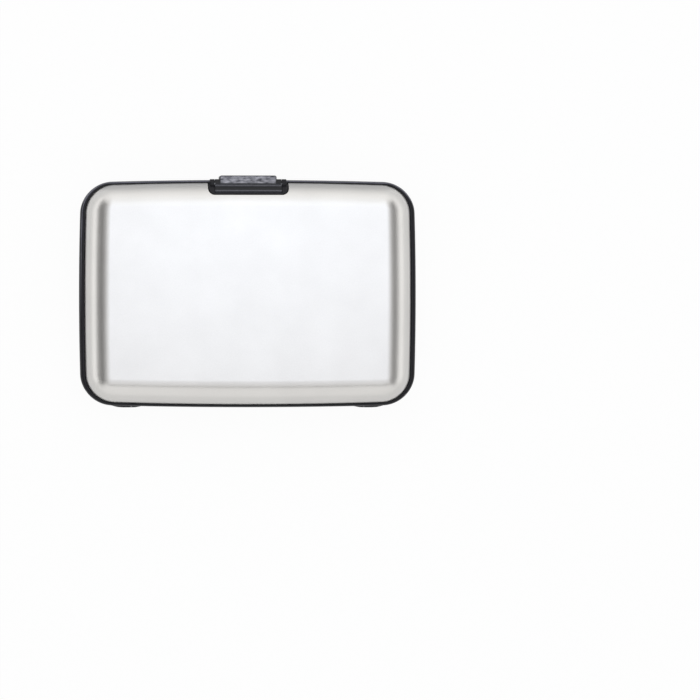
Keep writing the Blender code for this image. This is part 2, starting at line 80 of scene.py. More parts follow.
# The shells
shell_wall = 0.8 * mm
plateau_side_inset = 8.5 * mm
plateau_end_inset = 7.4 * mm
plateau_corner = 1.7 * mm
crease_angle = math.radians(20)
rim_angle = math.radians(88)
crease_round = 1.3 * mm
shoulder_drop = 0.8 * mm
field_border = 0.9 * mm
field_corner = 1.0 * mm
field_round = 0.8 * mm
field_crown_share = 0.5
rib_count = 14
rib_pitch = 3.73 * mm
rib_rise = 0.6 * mm
rib_crest = 1.1 * mm
rib_valley = 0.3 * mm
rib_round_share = 0.7
rib_end_run = 1.2 * mm
rib_margin = 3.3 * mm

# The hinge
hinge_inset = 1.1 * mm
hinge_end_inset = 17.0 * mm
hinge_pin_radius = 0.35 * mm
knuckle_wall = 0.5 * mm
knuckle_length = 3.2 * mm
# How the knuckles thin away from their joint: distance along the hinge, and loss of radius
outer_knuckle = [(0, 0), (2.5 * mm, 0), (4.2 * mm, 0.1 * mm), (5.5 * mm, 0.4 * mm), (6.4 * mm, 0.65 * mm)]
inner_knuckle = [(0, 0), (1.3 * mm, 0.05 * mm), (2.4 * mm, 0.25 * mm), (3.2 * mm, 0.4 * mm)]
knuckle_half_gap = 0.06 * mm
relief_angle = math.radians(50)

# The latch
latch_axis_inset = 1.4 * mm
latch_axis_rise = 4.3 * mm
latch_pin_radius = 0.4 * mm
barrel_radius = 1.6 * mm
boss_length = 1.5 * mm
boss_inset = 0.4 * mm
boss_round = 0.2 * mm
lever_half_width = 10.85 * mm
lever_round = 0.24 * mm
arm_depth = 3.8 * mm
arm_lift = 0.2 * mm
arm_thickness = 1.1 * mm
arm_travel = 0.3 * mm
housing_wall = 0.33 * mm
housing_floor = 1.2 * mm
housing_corner = 1.9 * mm
button_shoulder = 1.6 * mm
button_proud = 1.37 * mm
button_top_lift = 0.9 * mm
button_plate = 0.8 * mm
button_back = 0.33 * mm
button_foot_margin = 1.55 * mm
button_corner = 0.6 * mm
ledge_thickness = 0.8 * mm
nose_height = 1.4 * mm
nose_face_share = 0.35
nose_clearance = 0.15 * mm
catch_depth = 1.83 * mm
catch_sink = 2.0 * mm
catch_corner = 0.6 * mm
catch_recess = 0.6 * mm

# The fan of pockets
pocket_count = 7
leaf_half_length = 46.0 * mm
leaf_thickness = 0.4 * mm
leaf_back_y = -30.5 * mm
leaf_front_y = 28.0 * mm
leaf_corner = 2.0 * mm
stack_inset = 2.0 * mm
gusset_reach = 2.6 * mm
gusset_thickness = 0.2 * mm
gusset_gap = 0.05 * mm
gusset_round_power = 0.8

# Painted highlights and sheen on the black plastic: how softly they end, and the margin of the thumb piece's
# grained panel
patch_fade = 0.2 * mm
panel_margin = 0.35 * mm

# How far an edge turns before it is shaded sharp, and before it is rounded on the lever
sharp_angle = math.radians(38)
bevel_angle = math.radians(40)

# How finely the curves are cut
corner_steps = 20
side_steps = 24
skirt_steps = 22
band_steps = 8
ease_steps = 3
crease_steps = 6
tab_steps = 10
round_steps = 48
ramp_steps = 6
rib_steps = 8
fold_steps = 16
fold_rows = 12

# Sizes that follow
lid_top = case_half_height
base_top = case_half_height - rib_rise
base_crease = base_top - shoulder_drop
wall_outset = shell_wall + gap + frame_wall
case_outline = (half_length, half_depth, case_corner)
rim_outline = (half_length - band_side_width, half_depth - band_end_width, case_corner - band_corner_width)
plateau_outline = (half_length - plateau_side_inset, half_depth - plateau_end_inset, plateau_corner)
rib_end_x = plateau_outline[0] - rib_margin
rib_end_y = plateau_outline[1] - rib_margin
field_outline = (rib_end_x + field_border, rib_end_y + field_border, field_corner)
rim_foot = groove_floor + gap
wall_inner_y = rim_outline[1] - wall_outset
hinge_y = hinge_inset - half_depth
hinge_reach = half_length - hinge_end_inset
knuckle_radius = hinge_pin_radius + gap + knuckle_wall
latch_y = half_depth - latch_axis_inset
pocket_half_width = lever_half_width + half_gap
boss_end = pocket_half_width + boss_length
housing_half_width = boss_end + boss_inset
housing_y = half_depth - (arm_depth + arm_travel + gap + housing_wall)
pocket_sink = arm_thickness - arm_lift + arm_travel + gap
housing_sink = pocket_sink + housing_floor
button_half_width = lever_half_width - button_shoulder
button_y = half_depth + button_proud
button_inner_y = button_y - button_plate
button_top = latch_axis_rise + button_top_lift
ledge_foot = -(half_gap + ledge_thickness)
nose_top = ledge_foot - gap
button_foot = nose_top - nose_height - button_foot_margin
catch_y = half_depth - band_end_width - catch_depth + gap
lowest_leaf = stack_inset - base_crease
highest_leaf = lid_top - stack_inset
leaf_pitch = (highest_leaf - lowest_leaf) / pocket_count
box_middle_y = (button_y + hinge_y - knuckle_radius) / 2

# Where case coordinates lie in the frame, and how each half's shapes, made lid side up, are turned
seat = Vector((0, -box_middle_y, case_half_height))
upright = Matrix.Identity(4)
turned_over = Matrix.Rotation(math.pi, 4, "Y")


# Finishes


def linear(hex_colour):
    """An sRGB hex colour as linear red, green, blue and alpha."""
    shares = [int(hex_colour[i:i + 2], 16) / 255 for i in (1, 3, 5)]
    return (*[c / 12.92 if c <= 0.04045 else ((c + 0.055) / 1.055) ** 2.4 for c in shares], 1)


def add(tree, kind, inputs=None, stops=(), **settings):
    """Adds a node to a tree, sets its settings and its ramp's stops, and fills or links its inputs."""
    made = tree.nodes.new(kind)
    for name, value in settings.items():
        setattr(made, name, value)
    for index, (position, hex_colour) in enumerate(stops):
        made.color_ramp.elements[index].position = position
        made.color_ramp.elements[index].color = linear(hex_colour)
    for key, value in (inputs or {}).items():
        if isinstance(value, bpy.types.NodeSocket):
            tree.links.new(value, made.inputs[key])
        else:
            made.inputs[key].default_value = value
    return made


def per_mm(size):
    """A texture scale, in repeats per metre, whose features are this many millimetres across."""
    return 1 / (size * mm)


def new_finish(name):
    """An empty material, its tree, and the point in the piece's own coordinates."""
    material = bpy.data.materials.new(name)
    material.use_nodes = True
    tree = material.node_tree
    tree.nodes.clear()
    point = add(tree, "ShaderNodeTexCoord").outputs["Object"]
    return material, tree, point


def close_finish(tree, shader):
    """Puts a shader on the surface."""
    add(tree, "ShaderNodeOutputMaterial", {"Surface": shader.outputs[0]})


def patch_past_limits(tree, *limits):
    """1 where each value is past its limit and 0 elsewhere. A limit is a value, where it starts to count and
    where it counts in full."""
    patch = 1.0
    for value, start, full in limits:
        past = add(tree, "ShaderNodeMapRange", {"Value": value, "From Min": start, "From Max": full})
        patch = add(tree, "ShaderNodeMath", {0: past.outputs[0], 1: patch}, operation="MULTIPLY").outputs[0]
    return patch


def blasted_anodised_aluminium():
    """Pressed aluminium sheet, bead blasted and clear anodised: a soft silver sheen with a fine grain, faint
    lines from the rolling mill and faint clouds from the bath."""
    material, tree, point = new_finish("blasted_anodised_aluminium")
    # Blast grain is about 0.1 mm; it is drawn at 0.32 mm, about one pixel, so that it shows
    grain = add(
        tree, "ShaderNodeTexNoise", {"Vector": point, "Scale": per_mm(0.32), "Detail": 3.0}
    ).outputs["Fac"]
    clouds = add(
        tree, "ShaderNodeTexNoise", {"Vector": point, "Scale": per_mm(14), "Detail": 4.0}
    ).outputs["Fac"]
    # Rolling lines are under 0.1 mm wide; they are drawn 0.5 mm wide and eleven times as long, to show
    along_sheet = add(tree, "ShaderNodeMapping", {"Vector": point, "Scale": (0.09, 1, 1)}).outputs["Vector"]
    rolled = add(tree, "ShaderNodeTexNoise", {"Vector": along_sheet, "Scale": per_mm(0.5), "Detail": 2.0})
    shade = add(tree, "ShaderNodeMath", {0: grain, 1: clouds}, operation="ADD").outputs[0]
    shade = add(tree, "ShaderNodeMath", {0: shade, 1: 0.5}, operation="MULTIPLY").outputs[0]
    colour = add(tree, "ShaderNodeValToRGB", {"Fac": shade}, stops=((0.35, "#D5D3D0"), (0.65, "#DCDAD7")))
    rough = add(
        tree, "ShaderNodeMapRange",
        {"Value": grain, "From Min": 0.4, "From Max": 0.6, "To Min": 0.285, "To Max": 0.345}
    )
    height = add(
        tree, "ShaderNodeMath", {0: rolled.outputs["Fac"], 1: 0.35, 2: grain}, operation="MULTIPLY_ADD"
    )
    bump = add(
        tree, "ShaderNodeBump", {"Strength": 0.8, "Distance": 0.011 * mm, "Height": height.outputs[0]}
    )
    close_finish(tree, add(tree, "ShaderNodeBsdfPrincipled", {
        "Base Color": colour.outputs["Color"], "Metallic": 1.0, "Roughness": rough.outputs[0],
        "Normal": bump.outputs[0]
    }))
    return material


def moulded_black_abs():
    """Black ABS from a fine-blasted mould: a dim satin sheen, and painted grey highlights on the bands'
    rounding.
    """
    material, tree, point = new_finish("moulded_black_abs")
    # The mould's blast grain is about 0.1 mm; it is drawn at 0.3 mm, about one pixel, so that it shows
    texture = add(tree, "ShaderNodeTexNoise", {"Vector": point, "Scale": per_mm(0.3), "Detail": 3.0})
    mottle = add(
        tree, "ShaderNodeTexNoise", {"Vector": point, "Scale": per_mm(6), "Detail": 5.0}
    ).outputs["Fac"]
    black = add(tree, "ShaderNodeValToRGB", {"Fac": mottle}, stops=((0.3, "#111015"), (0.7, "#19181E")))
    # The grey of the painted highlights on the bands
    highlight_grey = add(tree, "ShaderNodeValToRGB", {"Fac": mottle}, stops=((0.3, "#53535C"), (0.7, "#686872")))

    normal = add(tree, "ShaderNodeTexCoord").outputs["Normal"]
    facing = add(tree, "ShaderNodeSeparateXYZ", {"Vector": normal}).outputs
    spot = add(tree, "ShaderNodeSeparateXYZ", {"Vector": point}).outputs
    # The slope is 0 on an upright face and 1 on a level one
    slope = add(tree, "ShaderNodeMath", {0: facing["Z"]}, operation="ABSOLUTE").outputs[0]
    height = add(tree, "ShaderNodeMath", {0: spot["Z"], 1: seat.z}, operation="SUBTRACT").outputs[0]
    height = add(tree, "ShaderNodeMath", {0: height}, operation="ABSOLUTE").outputs[0]
    # The depth that a point would have if the long sides didn't bow
    bow = add(tree, "ShaderNodeMath", {0: spot["X"], 1: 1 / half_length}, operation="MULTIPLY").outputs[0]
    bow = add(tree, "ShaderNodeMath", {0: bow, 1: bow}, operation="MULTIPLY").outputs[0]
    depth = add(
        tree, "ShaderNodeMath", {0: bow, 1: end_bow, 2: spot["Y"]}, operation="MULTIPLY_ADD"
    ).outputs[0]

    # Painted highlight on the bands on the latch side, from where the slope of their rounding is 0.3 up to
    # their top
    latch_rounding = add(tree, "ShaderNodeMath", {0: slope, 1: 0.58, 2: 0.28}, operation="COMPARE").outputs[0]
    latch_side = patch_past_limits(tree, (facing["Y"], 0.25, 0.45), (latch_rounding, 0, 1))
    band_foot = seat.y + half_depth - band_end_width
    latch_top = patch_past_limits(tree, (depth, band_foot + 0.2 * mm, band_foot + 0.3 * mm), (slope, 0.8, 0.86))
    # At the left end the painted highlight lies on the upper part of the rounding, where the face leans by 23
    # to
    # 46 degrees, and it grows towards the latch
    end_rounding = add(tree, "ShaderNodeMath", {0: slope, 1: 0.81, 2: 0.11}, operation="COMPARE").outputs[0]
    left_end = patch_past_limits(
        tree, (facing["X"], -0.2, -0.4), (spot["Y"], -12 * mm, 22 * mm), (end_rounding, 0, 1)
    )
    # The painted highlights together, kept to the top of the bands
    painted_highlight = add(tree, "ShaderNodeMath", {0: latch_side, 1: latch_top}, operation="MAXIMUM").outputs[0]
    painted_highlight = add(tree, "ShaderNodeMath", {0: painted_highlight, 1: left_end}, operation="MAXIMUM").outputs[0]
    painted_highlight = patch_past_limits(tree, (painted_highlight, 0, 1), (height, band_height + patch_fade, band_height))

    colour = add(
        tree, "ShaderNodeMix",
        {"Factor": painted_highlight, 6: black.outputs["Color"], 7: highlight_grey.outputs["Color"]}, data_type="RGBA"
    )
    rough = add(
        tree, "ShaderNodeMapRange",
        {"Value": mottle, "From Min": 0.3, "From Max": 0.7, "To Min": 0.30, "To Max": 0.42}
    )
    bump = add(
        tree, "ShaderNodeBump",
        {"Strength": 0.35, "Distance": 0.008 * mm, "Height": texture.outputs["Fac"]}
    )
    close_finish(tree, add(tree, "ShaderNodeBsdfPrincipled", {
        "Base Color": colour.outputs[2], "Roughness": rough.outputs[0], "IOR": 1.46,
        "Specular IOR Level": 0.27, "Normal": bump.outputs[0]
    }))
    return material


def grained_thumb_abs():
    """Black ABS again, with a spark-eroded panel on the thumb piece: rougher, with a coarse grain, and a
    painted sheen in grey blotches. The arm that lies in the tray stays black, but its edge and the strip
    behind the block get painted highlights."""
    material, tree, point = new_finish("grained_thumb_abs")
    spot = add(tree, "ShaderNodeSeparateXYZ", {"Vector": point}).outputs
    across = add(tree, "ShaderNodeMath", {0: spot["X"]}, operation="ABSOLUTE").outputs[0]
    arm_end = seat.y + half_depth - arm_depth
    heel = seat.y + latch_y - button_back
    panel_foot = heel + 0.45 * mm
    panel_head = seat.y + button_y - panel_margin
    panel_side = button_half_width - panel_margin
    # The grained panel: rougher, and carrying the painted sheen
    panel = patch_past_limits(
        tree, (spot["Y"], panel_foot, panel_foot + 0.25 * mm),
        (spot["Y"], panel_head + patch_fade, panel_head), (across, panel_side + patch_fade, panel_side)
    )
    # Painted highlights on the arm's end edge and on the strip behind the block
    painted_highlight = patch_past_limits(tree, (spot["Y"], arm_end + 0.5 * mm, arm_end + 0.2 * mm))
    strip = patch_past_limits(
        tree, (spot["Y"], heel - 0.5 * mm, heel - 0.3 * mm), (spot["Y"], heel + patch_fade, heel)
    )
    strip = add(tree, "ShaderNodeMath", {0: strip, 1: 0.9}, operation="MULTIPLY").outputs[0]
    painted_highlight = add(tree, "ShaderNodeMath", {0: painted_highlight, 1: strip}, operation="MAXIMUM").outputs[0]

    # Spark erosion leaves a grain of about 0.2 mm; it is drawn at 0.45 mm, so that it shows, and the painted
    # sheen in blotches of 0.8 mm, twice as wide as deep
    texture = add(
        tree, "ShaderNodeTexNoise", {"Vector": point, "Scale": per_mm(0.45), "Detail": 4.0}
    ).outputs["Fac"]
    drawn = add(tree, "ShaderNodeMapping", {"Vector": point, "Scale": (0.45, 1, 1)}).outputs["Vector"]
    blotches = add(
        tree, "ShaderNodeTexNoise", {"Vector": drawn, "Scale": per_mm(0.8), "Detail": 5.0}
    ).outputs["Fac"]
    black = add(tree, "ShaderNodeValToRGB", {"Fac": texture}, stops=((0.3, "#141417"), (0.7, "#1E1E22")))
    # The grey of the painted highlights on the arm
    highlight_grey = add(tree, "ShaderNodeValToRGB", {"Fac": texture}, stops=((0.3, "#505056"), (0.7, "#6C6C72")))
    # The grey of the painted sheen on the panel
    grey = add(tree, "ShaderNodeValToRGB", {"Fac": blotches}, stops=((0.33, "#4C4C54"), (0.67, "#ACACB4")))
    arm = add(
        tree, "ShaderNodeMix",
        {"Factor": painted_highlight, 6: black.outputs["Color"], 7: highlight_grey.outputs["Color"]}, data_type="RGBA"
    )
    colour = add(
        tree, "ShaderNodeMix",
        {"Factor": panel, 6: arm.outputs[2], 7: grey.outputs["Color"]}, data_type="RGBA"
    )
    rough = add(tree, "ShaderNodeMapRange", {"Value": panel, "To Min": 0.36, "To Max": 0.55})
    bump = add(tree, "ShaderNodeBump", {"Strength": 0.6, "Distance": 0.03 * mm, "Height": texture})
    close_finish(tree, add(tree, "ShaderNodeBsdfPrincipled", {
        "Base Color": colour.outputs[2], "Roughness": rough.outputs[0], "IOR": 1.46,
        "Specular IOR Level": 0.3, "Normal": bump.outputs[0]
    }))
    return material


def embossed_polypropylene():
    """Thin black polypropylene sheet with a fine pebbled emboss, a little milky and satin."""
    material, tree, point = new_finish("embossed_polypropylene")
    # The emboss is about 0.5 mm from pebble to pebble
    pebbles = add(tree, "ShaderNodeTexVoronoi", {"Vector": point, "Scale": per_mm(0.5)}).outputs["Distance"]
    clouds = add(
        tree, "ShaderNodeTexNoise", {"Vector": point, "Scale": per_mm(9), "Detail": 4.0}
    ).outputs["Fac"]
    colour = add(tree, "ShaderNodeValToRGB", {"Fac": clouds}, stops=((0.3, "#232427"), (0.7, "#2E2F33")))
    bump = add(tree, "ShaderNodeBump", {"Strength": 0.5, "Distance": 0.03 * mm, "Height": pebbles})
    close_finish(tree, add(tree, "ShaderNodeBsdfPrincipled", {
        "Base Color": colour.outputs["Color"], "Roughness": 0.42, "IOR": 1.49, "Normal": bump.outputs[0]
    }))
    return material


def ground_spring_steel():
    """Drawn and ground steel wire: bright, with faint lines round it."""
    material, tree, point = new_finish("ground_spring_steel")
    # The wave texture draws about three lines in each unit of its scale, so these are 0.13 mm apart
    lines = add(
        tree, "ShaderNodeTexWave", {"Vector": point, "Scale": per_mm(0.4), "Distortion": 2.0, "Detail": 2.0},
        bands_direction="X"
    ).outputs["Fac"]
    colour = add(tree, "ShaderNodeValToRGB", {"Fac": lines}, stops=((0.3, "#B4B5B8"), (0.7, "#C8C9CB")))
    rough = add(tree, "ShaderNodeMapRange", {"Value": lines, "To Min": 0.2, "To Max": 0.32})
    close_finish(tree, add(tree, "ShaderNodeBsdfPrincipled", {
        "Base Color": colour.outputs["Color"], "Metallic": 1.0, "Roughness": rough.outputs[0]
    }))
    return material


def open_cell_foam():
    """White polyurethane foam tape: dull, with small open cells, about 0.6 mm across."""
    material, tree, point = new_finish("open_cell_foam")
    cells = add(tree, "ShaderNodeTexVoronoi", {"Vector": point, "Scale": per_mm(0.6)}).outputs["Distance"]
    # Darker at each cell's middle, where the bump sinks it: painted shade in the open cells
    colour = add(tree, "ShaderNodeValToRGB", {"Fac": cells}, stops=((0.1, "#C9C8C2"), (0.6, "#E2E1DC")))
    bump = add(tree, "ShaderNodeBump", {"Strength": 0.8, "Distance": 0.12 * mm, "Height": cells})
    close_finish(tree, add(tree, "ShaderNodeBsdfPrincipled", {
        "Base Color": colour.outputs["Color"], "Roughness": 0.9, "IOR": 1.45, "Normal": bump.outputs[0]
    }))
    return material


aluminium = blasted_anodised_aluminium()
black_abs = moulded_black_abs()
thumb_abs = grained_thumb_abs()
leaf_sheet = embossed_polypropylene()
steel = ground_spring_steel()
foam = open_cell_foam()


# Making meshes


def mesh_object(name, bm):
    """A mesh object in case coordinates."""
    mesh = bpy.data.meshes.new(name)
    bm.to_mesh(mesh)
    bm.free()
    made = bpy.data.objects.new(name, mesh)
    bpy.context.scene.collection.objects.link(made)
    return made


def settle(obj):
    """Turns an object's modifiers into plain mesh."""
    bpy.context.view_layer.update()
    evaluated = obj.evaluated_get(bpy.context.evaluated_depsgraph_get())
    mesh = bpy.data.meshes.new_from_object(evaluated)
    obj.modifiers.clear()
    obj.data = mesh


def combine(obj, operation, tool):
    """Joins a shape to an object, cuts it out, or keeps only what lies in it, and removes the shape."""
    modifier = obj.modifiers.new(tool.name, "BOOLEAN")
    modifier.operation = operation
    modifier.object = tool
    modifier.solver = "EXACT"
    settle(obj)
    bpy.data.objects.remove(tool, do_unlink=True)


def round_edges(obj, width):
    """Rounds an object's sharper edges off."""
    bevel = obj.modifiers.new("edges", "BEVEL")
    bevel.width = width
    bevel.segments = ease_steps
    bevel.limit_method = "ANGLE"
    bevel.angle_limit = bevel_angle
    settle(obj)


def place(obj, finish, slot, body, *stands_for):
    """Sets a finished piece down where the solids it stands for are, on their body."""
    obj.data.transform(Matrix.Translation(seat))
    obj.data.materials.clear()
    obj.data.materials.append(finish)
    obj.data.shade_smooth()
    obj.data.set_sharp_from_angle(angle=sharp_angle)
    weighted = obj.modifiers.new("normals", "WEIGHTED_NORMAL")
    weighted.keep_sharp = True
    settle(obj)
    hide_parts(*stands_for)
    if body:
        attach(obj, body)
    return obj


def bowed(x, y, depth):
    """A point of a straight-sided plan of this half depth, with the sides drawn in a little towards the
    corners. The shells' edges are drawn in a little more than the bands, which widen there."""
    across = (y / half_depth) ** 2
    along = (x / half_length) ** 2
    inside = min(1, (half_depth - depth) / band_end_width)
    drawn_in = (end_bow + shell_extra_bow * inside) * y / half_depth
    return x * (1 - side_bow / half_length * across), y - drawn_in * along


def ring(outline, height):
    """Points round a rounded rectangle, counter-clockwise from +X, whose sides bow out at their middles."""
    half_x, half_y, radius = outline
    centres = [(half_x - radius, half_y - radius), (radius - half_x, half_y - radius)]
    centres += [(radius - half_x, radius - half_y), (half_x - radius, radius - half_y)]
    corners = []
    for quarter, (centre_x, centre_y) in enumerate(centres):
        for step in range(corner_steps + 1):
            angle = (quarter + step / corner_steps) * math.pi / 2
            corners.append((centre_x + radius * math.cos(angle), centre_y + radius * math.sin(angle)))
    points = []
    for index, (x, y) in enumerate(corners):
        points.append((x, y))
        if index % (corner_steps + 1) == corner_steps:
            next_x, next_y = corners[(index + 1) % len(corners)]
            for step in range(1, side_steps):
                share = step / side_steps
                points.append((x + (next_x - x) * share, y + (next_y - y) * share))
    return [Vector((*bowed(x, y, half_y), height)) for x, y in points]


def grown(outline, distance):
    """An outline's half sizes and corner, all larger by a distance."""
    return tuple(size + distance for size in outline)


def blended(first, second, share):
    """An outline part of the way from one to another."""
    return tuple(a + (b - a) * share for a, b in zip(first, second))


def add_loft(bm, rings, closed=False):
    """Quads from each ring of points to the next, and from the last back to the first if closed."""
    loops = [[bm.verts.new(point) for point in points] for points in rings]
    pairs = list(zip(loops, loops[1:]))
    if closed:
        pairs.append((loops[-1], loops[0]))
    for lower, upper in pairs:
        for index, corner in enumerate(lower):
            following = (index + 1) % len(lower)
            bm.faces.new((corner, lower[following], upper[following], upper[index]))
    return loops


def prism(name, outline, axis, start, end):
    """A closed flat outline, (y, z) for the X axis or (x, y) for the Z axis, extruded from start to end."""
    bm = bmesh.new()
    corners = [(start, a, b) if axis == "X" else (a, b, start) for a, b in outline]
    face = bm.faces.new([bm.verts.new(corner) for corner in corners])
    swept = bmesh.ops.extrude_face_region(bm, geom=[face])["geom"]
    travel = Vector([end - start if letter == axis else 0 for letter in "XYZ"])
    bmesh.ops.translate(bm, verts=[v for v in swept if isinstance(v, bmesh.types.BMVert)], vec=travel)
    bmesh.ops.recalc_face_normals(bm, faces=bm.faces)
    return mesh_object(name, bm)


def box(name, x, y, z):
    """A box between two places along each axis."""
    return prism(name, [(x[0], y[0]), (x[1], y[0]), (x[1], y[1]), (x[0], y[1])], "Z", *z)


def turned(name, profile, y, z):
    """A shape turned about an axis along X, from places along it and their radii."""
    bm = bmesh.new()
    rings = []
    for x, r in profile:
        rings.append([
            Vector((x, y + r * math.cos(turn), z + r * math.sin(turn)))
            for turn in (2 * math.pi * step / round_steps for step in range(round_steps))
        ])
    loops = add_loft(bm, rings)
    bm.faces.new(loops[0])
    bm.faces.new(loops[-1])
    bmesh.ops.recalc_face_normals(bm, faces=bm.faces)
    return mesh_object(name, bm)


def rod(name, start, end, y, z, radius, rounding=0):
    """A cylinder along X between two places, its ends rounded off."""
    turns = [step / ease_steps * math.pi / 2 for step in range(ease_steps + 1)] if rounding else [0]
    bend = [(rounding * (1 - math.cos(turn)), radius - rounding * (1 - math.sin(turn))) for turn in turns]
    profile = [(start + inward, r) for inward, r in bend]
    profile += [(end - inward, r) for inward, r in reversed(bend)]
    return turned(name, profile, y, z)


# The skirt's curve, shared by the shells, the latch tray and the lever


def skirt_place(top, lean):
    """(y, height, outward normal) of a shell's skirt on the latch side, where its face has this lean."""
    out_scale = (rim_outline[1] - plateau_outline[1]) / (math.sin(rim_angle) - math.sin(crease_angle))
    down_scale = (top - rim_foot) / (math.cos(crease_angle) - math.cos(rim_angle))
    y = plateau_outline[1] + out_scale * (math.sin(lean) - math.sin(crease_angle))
    height = top - down_scale * (math.cos(crease_angle) - math.cos(lean))
    normal = Vector((down_scale * math.sin(lean), out_scale * math.cos(lean))).normalized()
    return y, height, normal


def lean_at_depth(y):
    """How far the skirt leans from level at this depth."""
    share = (y - plateau_outline[1]) / (rim_outline[1] - plateau_outline[1])
    return math.asin(math.sin(crease_angle) + share * (math.sin(rim_angle) - math.sin(crease_angle)))


def lean_at_height(top, height):
    """How far the skirt leans from level at this height."""
    share = (height - rim_foot) / (top - rim_foot)
    return math.acos(math.cos(rim_angle) + share * (math.cos(crease_angle) - math.cos(rim_angle)))


def skirt_line(top, first_lean, last_lean, lift):
    """Points (y, height) along the skirt between two leans, raised off its face by lift."""
    points = []
    for step in range(skirt_steps + 1):
        y, height, normal = skirt_place(top, first_lean + (last_lean - first_lean) * step / skirt_steps)
        points.append((y + normal.x * lift, height + normal.y * lift))
    return points


def skirt_strip(top, first_lean, last_lean, lift, sink):
    """The section between two lines that follow the skirt, one raised off it and one sunk under it."""
    return skirt_line(top, first_lean, last_lean, lift) + skirt_line(top, last_lean, first_lean, -sink)


def tab_outline(half_width, inner_y, outer_y, corner):
    """Plan of a tab with two rounded corners at inner_y and square ones at outer_y."""
    points = [(half_width, outer_y), (-half_width, outer_y)]
    for side, first in ((-1, math.pi), (1, 1.5 * math.pi)):
        for step in range(tab_steps + 1):
            angle = first + step / tab_steps * math.pi / 2
            centre_x = side * (half_width - corner)
            points.append((centre_x + corner * math.cos(angle), inner_y + corner + corner * math.sin(angle)))
    return points


def notch_cutter(name, inner_y, corner, low, high):
    """What cuts the latch's notch out of a skirt."""
    plan = tab_outline(housing_half_width + gap, inner_y - gap, half_depth + overrun, corner + gap)
    return prism(name, plan, "Z", low, high)


# The two pressed shells


def skirt_rings(top, level):
    """Rings up the skirt, over a softened crease and onto the face inside it. The face runs from the crease's
    height at the crease to level where the softening ends."""
    across = rim_outline[1] - plateau_outline[1]
    first = lean_at_depth(plateau_outline[1] + crease_round)
    rings = []
    for step in range(skirt_steps + 1):
        lean = rim_angle + (first - rim_angle) * step / skirt_steps
        y, height, _ = skirt_place(top, lean)
        rings.append((y, height))
    outer = Vector(rings[-1])
    inner = Vector((plateau_outline[1] - crease_round, level))
    crease = Vector((plateau_outline[1], top))
    for step in range(1, crease_steps + 1):
        share = step / crease_steps
        point = outer * (1 - share) ** 2 + crease * 2 * share * (1 - share) + inner * share ** 2
        rings.append(tuple(point))
    return [
        ring(blended(plateau_outline, rim_outline, (y - plateau_outline[1]) / across), height)
        for y, height in rings
    ]


def ramp(share):
    """A rise from 0 to 1 with rounded ends."""
    share = min(max(share, 0), 1)
    return share - rib_round_share * math.sin(2 * math.pi * share) / (2 * math.pi)


def rib_grid():
    """Places along x and y where the ribbed sheet bends, each with its share of the ribs' rise."""
    ramp_run = (rib_pitch - rib_valley - rib_crest) / 2
    rows = []
    for index in range(rib_count):
        middle = (index - (rib_count - 1) / 2) * rib_pitch
        up = [(middle - rib_crest / 2 - ramp_run * (1 - s / ramp_steps), ramp(s / ramp_steps))
              for s in range(ramp_steps + 1)]
        rows += up + [(2 * middle - y, share) for y, share in reversed(up)]
    left = [(-rib_end_x + rib_end_run * s / ramp_steps, ramp(s / ramp_steps)) for s in range(ramp_steps + 1)]
    crest_end = rib_end_x - rib_end_run
    middle_columns = [(crest_end * s / rib_steps, 1) for s in range(1 - rib_steps, rib_steps)]
    return left + middle_columns + [(-x, share) for x, share in reversed(left)], rows


def add_ribs(bm, edge_loop):
    """Fills the field inside a loop of corners with the pressed ribs."""
    columns, rows = rib_grid()
    grid = []
    for y, row_share in rows:
        line = [(x, y, base_top + rib_rise * row_share * column_share) for x, column_share in columns]
        grid.append([bm.verts.new(point) for point in line])
    for lower, upper in zip(grid, grid[1:]):
        for index in range(len(columns) - 1):
            bm.faces.new((lower[index], lower[index + 1], upper[index + 1], upper[index]))
    border = grid[0] + [line[-1] for line in grid[1:]]
    border += grid[-1][-2::-1] + [line[0] for line in grid[-2:0:-1]]
    edges = [bm.edges.get(pair) for pair in zip(border, border[1:] + border[:1])]
    edges += [bm.edges.get(pair) for pair in zip(edge_loop, edge_loop[1:] + edge_loop[:1])]
    made = bmesh.ops.triangle_fill(bm, use_beauty=True, use_dissolve=False, edges=edges)["geom"]
    for face in made:
        if isinstance(face, bmesh.types.BMFace) and face.normal.z < 0:
            face.normal_flip()


def make_skin(name, half, ribbed):
    """A pressed shell as one open surface, given its wall by Solidify."""
    bm = bmesh.new()
    if ribbed:
        slope = (base_top - base_crease) / (plateau_outline[1] - field_outline[1])
        rings = skirt_rings(base_crease, base_crease + slope * crease_round)
        soft = field_round / (plateau_outline[1] - field_outline[1])
        low = (blended(field_outline, plateau_outline, soft), base_top - slope * field_round)
        for step in range(crease_steps + 1):
            share = step / crease_steps
            outline = blended(low[0], field_outline, share)
            height = low[1] + (base_top - low[1]) * (share + share * (1 - share) * field_crown_share)
            rings.append(ring(outline, height))
    else:
        rings = skirt_rings(lid_top, lid_top)
    loops = add_loft(bm, rings)
    if ribbed:
        add_ribs(bm, loops[-1])
    else:
        bm.faces.new(loops[-1])
    bm.transform(half)
    skin = mesh_object(name, bm)
    wall = skin.modifiers.new("wall", "SOLIDIFY")
    wall.thickness = shell_wall
    wall.offset = -1
    wall.use_even_offset = True
    settle(skin)
    return skin


lid_skin = make_skin("lid_skin", upright, ribbed=False)
combine(lid_skin, "DIFFERENCE", notch_cutter("lid_notch", housing_y, housing_corner, 0, 2 * case_half_height))
place(lid_skin, aluminium, "satin_aluminium", "lid", "lid_shell")

back_skin = make_skin("back_skin", turned_over, ribbed=True)
combine(back_skin, "DIFFERENCE", notch_cutter("base_notch", catch_y, catch_corner, -2 * case_half_height, 0))
place(back_skin, aluminium, "satin_aluminium", "base", "base_shell")


# The moulded rims, with the hinge, the latch tray and the catch plate


